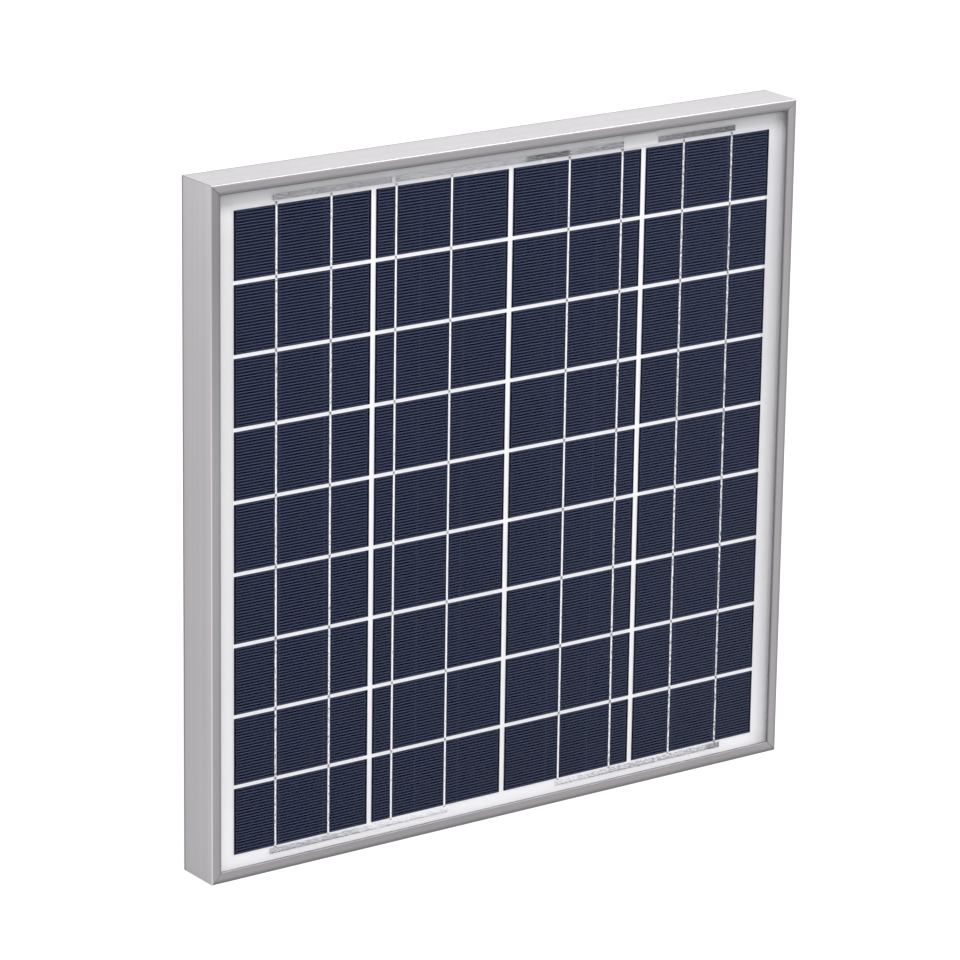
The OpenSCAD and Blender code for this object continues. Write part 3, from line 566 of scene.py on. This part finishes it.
# the top strips are drawn in darker colours than the bottom ones: painted shade under the top lip
strip_mats = {
    "bus_strip_top_left": tinned_copper(
        "tinned_strip_top_left_painted_shade", "#818185", "#b2b2b6", (3, 0.5), (0.25, 0.75), 0.45, 0.15,
        ((-134, 0.0), (-70, 0.1))),
    "bus_strip_top_middle": tinned_copper(
        "tinned_strip_top_middle_painted_shade", "#646568", "#bdbdc1", (5, 0.5), (0.2, 0.7), 0.45, 0.15,
        ((-66, 0.0), (-60, 0.12), (8, 0.14), (10.5, -0.12), (26, -0.22), (34, -0.18),
         (36, 0.03), (60, -0.03))),
    "bus_strip_top_right": tinned_copper(
        "tinned_strip_top_right_painted_shade", "#66666a", "#9c9ca0", (3, 0.5), (0.25, 0.75), 0.45, 0.2,
        ((88, 0.06), (134, -0.1))),
    "bus_strip_bottom_left": tinned_copper(
        "tinned_strip_even", "#a8a8ac", "#f3f3f5", (3, 0.5), (0.2, 0.75), 0.3, 0.12,
        ((-134, -0.12), (-88, -0.08), (-76, 0.12), (-20, 0.3))),
    "bus_strip_bottom_right": tinned_copper(
        "tinned_strip_specked", "#8c8c90", "#efeff1", (1.8, 0.5), (0.28, 0.68), 0.3, 0.2,
        ((30, 0.14), (50, 0.08), (70, 0.0), (126, 0.0), (131, -0.16))),
}
lead_mat = tinned_copper(
    "tinned_copper_lead", "#9b9da1", "#e4e5e7", (1.5, 1.5), (0.35, 0.6), 0.35, 0.4,
    sleeve=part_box("backsheet")[1][1])
plate_mat = bare_metal("tinned_terminal_plate", "#c4c6c8", 2, 6.1, 0.36, 0.5)
film_mat = backsheet_film(*grid)
patch_mat = moulded("white_insulating_film", "#ededee", 0.45, 1.0, 0.01, level=0.3, drift=0.01)
tape_mat = moulded("grey_foam_tape", "#a3a3a5", 0.85, 0.5, 0.05)
silicone_mat = moulded("white_silicone", "#e2e2de", 0.4, 2.5, 0.05, spread=0.1)
box_mat = moulded("black_moulded_plastic", "#1c1d1f", 0.5, 0.35, 0.03)
gasket_mat = moulded("black_rubber", "#2e2e30", 0.7, 0.6, 0.02)
nylon_mat = moulded("black_nylon", "#1f2022", 0.42, 0.8, 0.015)
seal_mat = moulded("grey_rubber", "#48494b", 0.6, 0.7, 0.02)
diode_mat = diode_coat(4.5 * MM)
label_mat = moulded("silver_label_film", "#c3c5c6", 0.42, 0.6, 0.008, drift=0.01)
key_mat = bare_metal("extruded_aluminium_key", "#9a9c9f", 2, 9.1)
pin_mat = bare_metal("drawn_steel_pin", "#a5a5a6", 0, 3.1, 0.34, 0.3)
screw_mat = bare_metal("turned_brass", "#c8a75e", 1, 4.4, 0.34, 0.3)

# nodes whose own surface stays, and nodes whose edges are broken by so many millimetres
plain = {"backsheet": film_mat, "insulating_sheet": patch_mat, "lead_left": lead_mat,
         "lead_right": lead_mat, "hinge_pins": pin_mat, "gland_rings": seal_mat,
         "bypass_diode": diode_mat}
edged = {"rail_top": (rail_x, 0.06), "rail_bottom": (rail_x, 0.06), "rail_left": (rail_z, 0.06),
         "rail_right": (rail_z, 0.06), "junction_box": (box_mat, 0.35),
         "box_lid": (box_mat, 0.35), "box_gasket": (gasket_mat, 0.12),
         "terminal_screws": (screw_mat, 0.12), "terminal_plate_left": (plate_mat, 0.12),
         "terminal_plate_right": (plate_mat, 0.12), "clamp_washers": (plate_mat, 0.12)}
for side in ("left", "right"):
    edged["gland_body_" + side] = edged["gland_nut_" + side] = (nylon_mat, 0.2)
    plain["gland_seal_" + side] = seal_mat
for edge in ("top", "bottom", "left", "right"):
    plain["edge_tape_" + edge] = tape_mat
for corner in ("top_left", "top_right", "bottom_left", "bottom_right"):
    plain["corner_key_" + corner] = key_mat
for n in COLUMNS:
    plain["cells_column_%d" % n] = cell_mat

for name, material in plain.items():
    NODES[name].data.materials.clear()
    NODES[name].data.materials.append(material)
for name, (material, width) in edged.items():
    softened(name, material, width, name.startswith("gland_nut"))


# ---- the laminate ----

def glass_block():
    """Glass and encapsulant as one pane: rings of a square outline, drawn in at the front and
    the back by the ground edge, from the glass's front to just inside the backsheet."""
    low, high = np.array(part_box("glass"))
    into_film, ground = 0.05 * MM, 0.4 * MM
    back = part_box("backsheet")[0][1] + into_film
    inset = np.array([ground, 0.0, 0.0, ground])[:, None]
    y = np.array([low[1], low[1] + ground, back - ground, back])[:, None]
    right, top = np.array([0, 1, 1, 0]), np.array([0, 0, 1, 1])
    x = np.where(right, high[0] - inset, low[0] + inset)
    z = np.where(top, high[2] - inset, low[2] + inset)
    rings = np.stack([x, np.broadcast_to(y, x.shape), z], 2)[::-1]
    verts, faces = many([rings])
    mesh_piece("glass_block", verts, faces, glass_mat,
               ("glass", "front_encapsulant", "rear_encapsulant"), smooth=False)


def ribbon_path(y_front, y_back, z_front, z_turn, z_back, half_turn):
    """Middle line of a ribbon as Z and Y: straight on the front from z_front to the turn, an S
    of the smooth step 3 s^2 - 2 s^3 through the gap, and straight on the back to z_back."""
    way = np.sign(z_turn - z_front)
    before, after = z_turn - way * half_turn, z_turn + way * half_turn
    z = np.concatenate([np.linspace(z_front, before, FRONT_STEPS),
                        np.linspace(before, after, TURN_STEPS)[1:],
                        np.linspace(after, z_back, BACK_STEPS)[1:]])
    s = np.clip((z - before) / (after - before), 0, 1)
    return z, y_front + (y_back - y_front) * (3 * s ** 2 - 2 * s ** 3)


def band(x, z, y, width, thick, seed):
    """A flat band with rounded sides carried along Z and Y at x: its section is a stadium whose
    point at the angle a lies at (width / 2) |cos a|^(1/3) across and (thick / 2) |sin a|^(1/2)
    deep. The front swells and sinks with the solder by up to a sixth of the thickness."""
    around = 14
    a = np.linspace(0, 2 * np.pi, around, endpoint=False)
    across = np.sign(np.cos(a)) * np.abs(np.cos(a)) ** (1 / 3) * width / 2
    deep = np.sign(np.sin(a)) * np.abs(np.sin(a)) ** 0.5 * thick / 2
    swell = 1 + ripple(z[:, None] / MM, across[None, :] / MM, seed + x / MM) / 3
    points = np.empty((len(z), around, 3))
    points[..., 0] = x + across
    points[..., 1] = y[:, None] + np.where(deep < 0, deep * swell, deep)
    points[..., 2] = z[:, None]
    return points if z[-1] < z[0] else points[:, ::-1]


def ribbon_column(n):
    """The two ribbon lines of a column. Odd columns run down and even ones up: each ribbon lies
    on a cell's front, turns in the gap beside it and holds on to the next cell's back. The
    last one stays on the front as far as the bus strip."""
    node = "ribbons_column_%d" % n
    low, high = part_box(node)
    width, thick, solder, half_turn = 1.1 * MM, 0.15 * MM, 0.005 * MM, 0.55 * MM
    turn_below, turn_above, held, seed_step = 0.5 * MM, 1.05 * MM, 0.6, 3.1
    y_front = field_low[1] - thick / 2 - solder
    y_back = field_high[1] + thick / 2 + solder
    down = n % 2 == 1
    bases = field_low[2] + np.arange(ROWS) * row_pitch
    gaps = np.concatenate([[bases[0] - turn_below], bases[1:] - GAP_Z / 2,
                           [field_high[2] + turn_above]])
    # where the ribbons start on the fronts, and where they end on the backs, over the share
    # held of a cell's height
    if down:
        starts, ends = np.append(bases + cell_h, high[2]), bases + (1 - held) * cell_h
        last, straight = 0, (low[2], bases[0] + cell_h)
    else:
        starts, ends = np.append(low[2], bases), bases + held * cell_h
        last, straight = ROWS, (bases[-1], high[2])
    blocks = []
    for x in (low[0] + width / 2, high[0] - width / 2):
        for k in range(ROWS + 1):
            if k == last:
                z = np.linspace(*straight, FRONT_STEPS)
                y = np.full(z.shape, y_front)
            else:
                z, y = ribbon_path(y_front, y_back, starts[k], gaps[k],
                                   ends[k - 1 if down else k], half_turn)
            blocks.append(band(x, z, y, width, thick, seed_step * k))
    verts, faces = many(blocks)
    mesh_piece(node + "_soldered", verts, faces, ribbon_mat, (node,), sharp=50)


def bus_strip(name, seed):
    """A wrinkled strip: a flat band carried along X. Its front and back move together by the
    ripple times the wrinkle, with long lengths along the strip and short ones across it."""
    low, high = np.array(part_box(name))
    step, across, wrinkle, sunk = 0.7 * MM, 13, 0.05 * MM, 0.03 * MM
    x = np.linspace(low[0], high[0], int((high[0] - low[0]) / step))[:, None]
    side = np.linspace(-1, 1, across)
    up = np.concatenate([side, side[::-1]])[None, :]
    face = np.repeat([-1.0, 1.0], across)[None, :]
    middle, half = (low + high) / 2, (high - low) / 2
    z = middle[2] + up * half[2]
    lift = wrinkle * ripple(x / MM / 3, z / MM / 2.4, seed)
    thin = np.where(np.abs(up) == 1, 0.6, 1.0)
    y = middle[1] + face * thin * half[1] + lift - sunk
    verts, faces = many([np.stack([x + 0 * y, y, z + 0 * y], 2)])
    mesh_piece(name + "_wrinkled", verts, faces, strip_mats[name], (name,), sharp=60)


glass_block()
for n in COLUMNS:
    ribbon_column(n)
for seed, name in enumerate(strip_mats):
    bus_strip(name, 1.3 * seed)


# ---- the back ----

def rounded_outline(half_w, half_h, corner, steps=10):
    """A rectangle with round corners, run round once: on each quarter the point at the angle a
    lies at the corner's middle plus corner times (cos a, sin a)."""
    a = np.linspace(0, np.pi / 2, steps)[None, :] + np.arange(4)[:, None] * np.pi / 2
    right = np.array([1, -1, -1, 1])[:, None]
    up = np.array([1, 1, -1, -1])[:, None]
    x = right * (half_w - corner) + corner * np.cos(a)
    z = up * (half_h - corner) + corner * np.sin(a)
    return x.ravel(), z.ravel()


def label_film():
    """The bare label: a film with round corners, as three outlines of which the last is drawn in
    a little, so that its cut edge catches light."""
    low, high = np.array(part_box("rating_label"))
    middle, half = (low + high) / 2, (high - low) / 2
    corner, cut_depth, cut_inset = 3 * MM, 0.04 * MM, 0.06 * MM
    rings = []
    for y, inset in ((low[1], 0.0), (high[1] - cut_depth, 0.0), (high[1], cut_inset)):
        x, z = rounded_outline(half[0] - inset, half[2] - inset, corner)
        rings.append(np.stack([middle[0] + x, np.full(x.shape, y), middle[2] + z], 1))
    verts, faces = many([np.array(rings)])
    mesh_piece("label_film", verts, faces, label_mat, ("rating_label",), sharp=40)


def silicone_bead():
    """Silicone pressed out round the box's foot: a section carried round the box's outline, which
    is taken at equal steps of its length. The section lies flat on the film, swells out and
    runs up the wall. Its width is 1.25 mm times 1 + a sum of three sines of the way round."""
    low, high = np.array(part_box("box_gasket"))
    film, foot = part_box("box_bond")[0][1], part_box("box_bond")[1][1]
    middle, half = (low + high) / 2, (high - low) / 2
    corner, bead_w, steps = 0.6 * MM, 1.25 * MM, 320
    x, z = rounded_outline(half[0], half[2], corner)
    x, z = np.append(x, x[0]), np.append(z, z[0])
    length = np.append(0.0, np.cumsum(np.hypot(np.diff(x), np.diff(z))))
    way = np.linspace(0, length[-1], steps, endpoint=False)
    x, z = np.interp(way, length, x), np.interp(way, length, z)
    dx, dz = np.roll(x, -1) - np.roll(x, 1), np.roll(z, -1) - np.roll(z, 1)
    out_x, out_z = dz / np.hypot(dx, dz), -dx / np.hypot(dx, dz)
    turn = (2 * np.pi * way / length[-1])[:, None]
    uneven = (1 + 0.1 * np.sin(5 * turn + 1.0) + 0.07 * np.sin(13 * turn)
              + 0.05 * np.sin(29 * turn + 2.0))
    # the section in widths out from the wall and in millimetres up from the film; its last
    # point and its first lie under the box
    out = np.array([-3.2, 0.0, 0.75, 1.0, 0.85, 0.5, 0.12, 0.0, 0.0, -3.2])[None, :] * bead_w
    up = np.array([0.0, 0.0, 0.02, 0.25, 0.62, 1.05, 1.5, 1.62, 0.8, 0.8])[None, :] * MM
    out = np.where(out > 0, out * uneven, out)
    up = np.minimum(up, foot - film) + np.maximum(up - (foot - film), 0) * uneven
    points = np.stack([middle[0] + x[:, None] + out_x[:, None] * out, film + up,
                       middle[2] + z[:, None] + out_z[:, None] * out], 2)
    faces = grid_faces(*points.shape[:2], close_rows=True, close_cols=True)
    mesh_piece("silicone_bead", points.reshape(-1, 3), faces, silicone_mat, ("box_bond",),
               sharp=60)


label_film()
silicone_bead()


# ---- stage, light and camera ----

def seen_rays(tree):
    """1 for the rays that show the background: the camera's, mirrored and refracted ones."""
    path = add(tree, "ShaderNodeLightPath")
    return chain(tree, "MAXIMUM", path.outputs["Is Camera Ray"], path.outputs["Is Glossy Ray"],
                 path.outputs["Is Transmission Ray"])


def turned_to(made, place, back, roll=0.0):
    """Puts a lamp or a camera at place with its back towards back, level, and then rolls it
    about its line of sight."""
    back = back / np.linalg.norm(back)
    right = np.cross([0, 0, 1], back)
    right /= np.linalg.norm(right)
    up = np.cross(back, right)
    right, up = (math.cos(roll) * right + math.sin(roll) * up,
                 math.cos(roll) * up - math.sin(roll) * right)
    for row in range(3):
        made.matrix_world[row] = (right[row], up[row], back[row], place[row])


reach = 6.0
floor_mesh = bpy.data.meshes.new("floor")
floor_mesh.from_pydata([(-reach, -reach, 0), (reach, -reach, 0), (reach, reach, 0),
                        (-reach, reach, 0)], [], [(0, 1, 2, 3)])
floor = placed("floor", floor_mesh)

# the floor shows white with the object's faint shadow, as a white glow with a thin matt share,
# and lights the object as a grey floor does
floor_mat, tree, _ = new_material("pale_floor")
matt = add(tree, "ShaderNodeBsdfDiffuse", {"Color": linear("#a0a0a0")})
thin = add(tree, "ShaderNodeBsdfDiffuse", {"Color": linear("#8a8a8a")})
glow = add(tree, "ShaderNodeEmission", {"Color": linear("#ffffff"), "Strength": 0.80})
shown = add(tree, "ShaderNodeAddShader", {0: thin, 1: glow})
finish_material(tree, add(tree, "ShaderNodeMixShader", {0: seen_rays(tree), 1: matt, 2: shown}))
floor_mesh.materials.append(floor_mat)

world = bpy.data.worlds.new("studio")
bpy.context.scene.world = world
world.use_nodes = True
tree = world.node_tree
tree.nodes.clear()
strength = ramp(tree, seen_rays(tree), 0.0, 1.0, 0.96, 1.0)
sky = add(tree, "ShaderNodeBackground", {"Color": linear("#ffffff"), "Strength": strength})
add(tree, "ShaderNodeOutputWorld", {"Surface": sky})

# soft boxes: each one's place, the height of its aim on the axis, width, height and watts
for name, place, aim, width, height, watts in (
        ("softbox_front", (-0.6, -1.9, 2.9), 0.17, 1.6, 1.2, 60.5),
        ("softbox_low", (1.25, -1.7, 0.95), 0.17, 1.2, 0.5, 3.6),
        ("softbox_high", (1.25, -0.95, 1.85), 0.3, 0.9, 0.35, 6.7),
        ("softbox_back", (0.95, 1.35, 0.95), 0.25, 1.1, 0.7, 3.1),
        ("softbox_left", (-1.15, 1.6, 0.24), 0.17, 0.9, 0.4, 2.2)):
    light = bpy.data.lights.new(name, "AREA")
    light.shape, light.size, light.size_y, light.energy = "RECTANGLE", width, height, watts
    turned_to(placed(name, light), place, np.array(place) - (0, 0, aim))

lens = bpy.data.cameras.new("camera")
lens.lens, lens.sensor_width = 184.35, 36
camera = placed("camera", lens)
bpy.context.scene.camera = camera
turned_to(camera, (-1.3287, -1.8451, 0.8681), np.array([-0.5561, -0.7775, 0.2938]),
          math.radians(0.85))
bpy.context.scene.view_settings.view_transform = "Standard"
